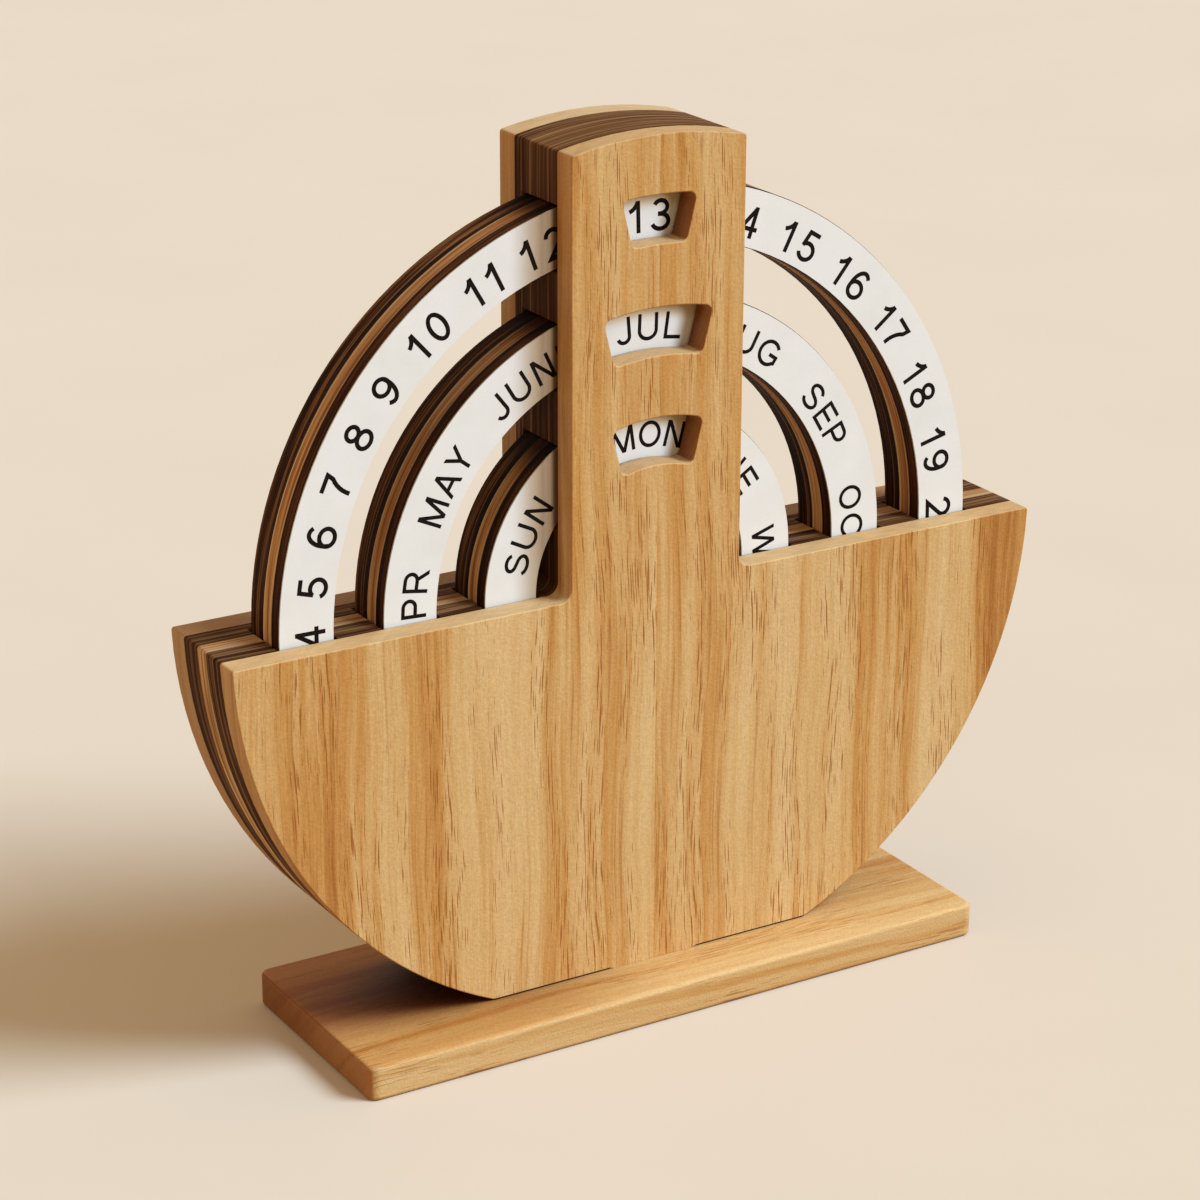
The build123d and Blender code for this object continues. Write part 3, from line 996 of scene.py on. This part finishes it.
def print_ring(ring, name, words, angles, capital, radius, tracking):
    """One mesh with every word of a ring; capital is a letter's height, radius its middle's."""
    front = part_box(f"{ring}_label")[0].y
    points, faces = [], []
    for word, word_angle in zip(words, angles):
        for glyph, start, centre in letter_places(word, tracking):
            turn = word_angle - (start + centre) * capital / radius
            up = Vector((math.cos(turn), 0.0, math.sin(turn)))
            along = Vector((math.sin(turn), 0.0, -math.cos(turn)))
            foot = up * (radius - capital / 2) + Vector((0.0, 0.0, AXIS_HEIGHT))
            flat, triangles, outline = shapes[glyph]
            first, count = len(points), len(flat)
            for depth in (front - INK_PROUD, front + INK_SUNK):
                for p in flat:
                    spot = foot + (along * (p.x - centre) + up * p.y) * capital
                    points.append((spot.x, depth, spot.z))
            faces += [(first + a, first + b, first + c) for a, b, c in triangles]
            faces += [tuple(first + count + i for i in reversed(t)) for t in triangles]
            for a, b in outline:
                faces.append((first + b, first + a, first + count + a, first + count + b))
    mesh = bpy.data.meshes.new(name)
    mesh.from_pydata(points, [], faces)
    mesh.validate()
    mesh.materials.append(ink)
    printed = bpy.data.objects.new(name, mesh)
    bpy.context.scene.collection.objects.link(printed)
    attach(printed, ring)
    print(name, "has", len(words), "entries and", len(mesh.polygons), "faces")
    return printed


print("the rings' axis is", round(AXIS_HEIGHT / MM, 2), "mm above the desk")

# %% [markdown]
# ## Dates, months and weekdays
# The dials were laid out by eye, as a sign painter does it: a date of one figure takes less room
# than one of two, the date in the middle of the month stands apart, and the week leaves a wider gap
# after Sunday. Each list below gives the degrees from one word to the next, and the words whose
# places nobody looks at share what is left of the turn. All three stand one to three degrees right
# of the windows' middle, as a hand that turns a ring leaves them.

# %% The steps from word to word
DATES = [str(day) for day in range(1, 32)]
MONTHS = "JAN FEB MAR APR MAY JUNE JUL AUG SEP OCT NOV DEC".split()
WEEKDAYS = "MON TUE WED THU FRI SAT SUN".split()


def share_rest(before, count, after=()):
    """Steps that start and end as given, with `count` equal ones between that fill the turn."""
    rest = (360.0 - sum(before) - sum(after)) / count
    return [*before, *count * [rest], *after]


ONE_FIGURE, ONE_TO_TWO, TWO_FIGURES = 7.85, 10.2, 12.2
NARROW_TWO = 11.05  # beside 11, whose figures are narrow
TO_THIRTEEN, FROM_THIRTEEN = 18.9, 16.5
early_dates = [*8 * [ONE_FIGURE], ONE_TO_TWO, *2 * [NARROW_TWO], TO_THIRTEEN, FROM_THIRTEEN]
date_steps = share_rest([*early_dates, *6 * [TWO_FIGURES]], 11, [ONE_TO_TWO])
spring_to_autumn = [27.7, 30.4, 30.6, 27.1, 30.0, 28.6]  # from APR to OCT
month_steps = share_rest([], 6, spring_to_autumn)
month_steps = month_steps[3:] + month_steps[:3]
week_steps = share_rest([43.9, 49.6], 4, [66.8])
print("even steps:", round(date_steps[25], 2), "for dates and", round(week_steps[4], 2), "for days")

# %% The three dials
date_numbers = print_ring(
    "date_ring", "date_numbers", DATES, standing_angles(DATES, date_steps, "13", 88.85),
    capital=6.9 * MM, radius=79.45 * MM, tracking=0.05,
)
month_names = print_ring(
    "month_ring", "month_names", MONTHS, standing_angles(MONTHS, month_steps, "JUL", 88.3),
    capital=5.9 * MM, radius=55.5 * MM, tracking=0.0,
)
weekday_names = print_ring(
    "weekday_ring", "weekday_names", WEEKDAYS, standing_angles(WEEKDAYS, week_steps, "MON", 87.2),
    capital=5.85 * MM, radius=31.8 * MM, tracking=-0.04,
)

# %% [markdown]
# ## Floor and sky
# The calendar stands on a pale sheet so large that no edge shows. A pale floor would throw a lot of
# light back up, so light that bounces sees it darker and warmer than the camera does. The sky is
# made the same way: pale as a backdrop, dim and warm where it fills the shaded sides. A real studio
# gets there with black cards beside the object; the Light Path node gets there without them.

# %% The floor
HALF_FLOOR = 6.0  # metres
FLOOR_CLOUDS = (0.01, 0.01, 0.01)
FLOOR_PALE = (0.722, 0.625, 0.537)
FLOOR_BOUNCE = (0.40, 0.25, 0.125)

floor_mesh = bpy.data.meshes.new("studio_floor")
corners = [(x * HALF_FLOOR, y * HALF_FLOOR, 0.0) for x, y in ((-1, -1), (1, -1), (1, 1), (-1, 1))]
floor_mesh.from_pydata(corners, [], [(0, 1, 2, 3)])
floor = bpy.data.objects.new("studio_floor", floor_mesh)
bpy.context.scene.collection.objects.link(floor)


def seen_directly(tree):
    """1 where the camera or a reflection looks, 0 where light bounces."""
    path = add_node(tree, "LightPath")
    seen = calc(tree, "MAXIMUM", path.outputs["Is Camera Ray"], path.outputs["Is Glossy Ray"])
    return calc(tree, "MAXIMUM", seen, path.outputs["Is Transmission Ray"])


floor_finish, tree, shader = start_finish("floor_finish")
clouds = cloud(tree, piece_place(tree)[0], FLOOR_CLOUDS, 3.0)
mottle = fade(tree, clouds, 0.3, 0.7, 0.99, 1.01)
pale = tint(tree, 1.0, FLOOR_PALE, join(tree, mottle, mottle, mottle))
floor_colour = blend(tree, seen_directly(tree), FLOOR_BOUNCE, pale)
feed(tree, shader, Base_Color=floor_colour)
even(shader, Roughness=0.9, Specular_IOR_Level=0.0)
floor_mesh.materials.append(floor_finish)
print("the floor reaches", HALF_FLOOR, "m each way")

# %% The sky
BACKDROP = (0.814, 0.705, 0.569)
SKY = (0.555, 0.425, 0.262)

world = bpy.data.worlds.new("studio_sky")
world.use_nodes = True
tree = world.node_tree
tree.nodes.clear()
sky = add_node(tree, "Background", {0: (*SKY, 1.0), 1: 1.0})
backdrop = add_node(tree, "Background", {0: (*BACKDROP, 1.0), 1: 1.0})
choices = {0: seen_directly(tree), 1: sky.outputs[0], 2: backdrop.outputs[0]}
chosen = add_node(tree, "MixShader", choices)
add_node(tree, "OutputWorld", {0: chosen.outputs[0]})
bpy.context.scene.world = world
bpy.context.scene.view_settings.view_transform = "Standard"
print("sky over backdrop:", [round(dim / pale, 2) for dim, pale in zip(SKY, BACKDROP)])

# %% [markdown]
# ## Two soft lamps
# The main lamp stands to the right and fairly high, which draws the long shadow to the left. The
# dials lie in slots behind the front plate, and under that lamp alone the windows would be dark to
# their lower edge. A photographer fills such a recess with a second lamp, low and more from the
# front. Light linking lets it shine on the card and the print only, so the wood keeps one light.

# %% The lamps
def studio_lamp(name, to_right, height, softness, strength, colour, dials):
    """A soft distant lamp: its place in degrees to the right of straight in front and above the
    floor, and how many degrees wide it is. It lights only the dials where they are included, and
    all but the dials where they are excluded."""
    right, rise = math.radians(to_right), math.radians(height)
    flat = math.cos(rise)
    to_lamp = Vector((math.sin(right) * flat, -math.cos(right) * flat, math.sin(rise)))
    light = bpy.data.lights.new(name, "SUN")
    light.energy, light.color, light.angle = strength, colour, math.radians(softness)
    lamp = bpy.data.objects.new(name, light)
    lamp.rotation_euler = to_lamp.to_track_quat("Z", "Y").to_euler()
    bpy.context.scene.collection.objects.link(lamp)
    receivers = bpy.data.collections.new(name + "_receivers")
    for piece in dial_faces:
        receivers.objects.link(piece)
    for entry in receivers.collection_objects:
        entry.light_linking.link_state = dials
    lamp.light_linking.receiver_collection = receivers
    print(name, "has", len(dial_faces), "pieces of the dials as", dials)


dial_faces = [nodes[f"{ring}_label"] for ring in ("date_ring", "month_ring", "weekday_ring")]
dial_faces += [date_numbers, month_names, weekday_names]
studio_lamp(
    "main_lamp", to_right=48.0, height=45.0, softness=27.0,
    strength=3.55, colour=(0.72, 0.88, 1.0), dials="EXCLUDE",
)
studio_lamp(
    "window_lamp", to_right=27.0, height=18.0, softness=22.0,
    strength=2.72, colour=(0.744, 0.867, 1.0), dials="INCLUDE",
)
